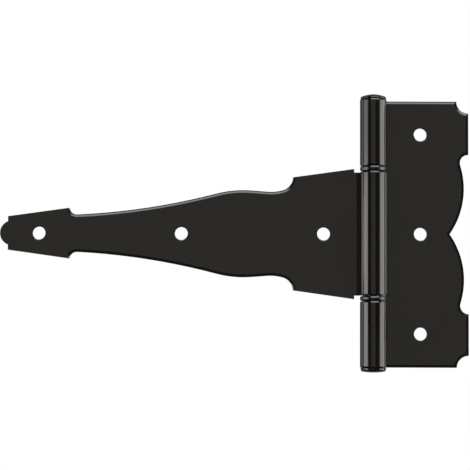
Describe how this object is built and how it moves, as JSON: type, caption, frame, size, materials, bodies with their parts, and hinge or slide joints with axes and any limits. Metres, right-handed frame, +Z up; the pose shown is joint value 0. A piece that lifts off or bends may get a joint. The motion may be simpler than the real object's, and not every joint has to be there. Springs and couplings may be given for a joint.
{
  "type": "tee hinge",
  "caption": "Black ornamental tee hinge: a long tapered strap leaf with scalloped edges swings on a pin barrel beside a tall post leaf, both drilled for screws.",
  "frame": {"origin": "centre of the post leaf's row of screw holes, on the plane that both leaves are screwed against", "axes": "+X from the pin over the post leaf, with the strap along -X; +Y into the surface that the hinge is screwed to, so the barrel stands proud towards -Y; +Z up the pin"},
  "size_m": [0.2553, 0.0145, 0.1512],
  "materials": {
    "black_enamel": "semi-gloss black enamel on steel",
    "black_nylon": "smooth black nylon"
  },
  "bodies": {
    "post": {"post_leaf": "black_enamel", "hinge_pin": "black_enamel", "upper_washer": "black_nylon", "lower_washer": "black_nylon"},
    "strap": {"strap_leaf": "black_enamel"}
  },
  "joints": [
    {"name": "strap_swing", "type": "hinge", "parent": "post", "child": "strap", "pos_m": [-0.0259, -0.00725, 0], "axis": [0, 0, 1], "range_deg": [-75, 180]}
  ]
}
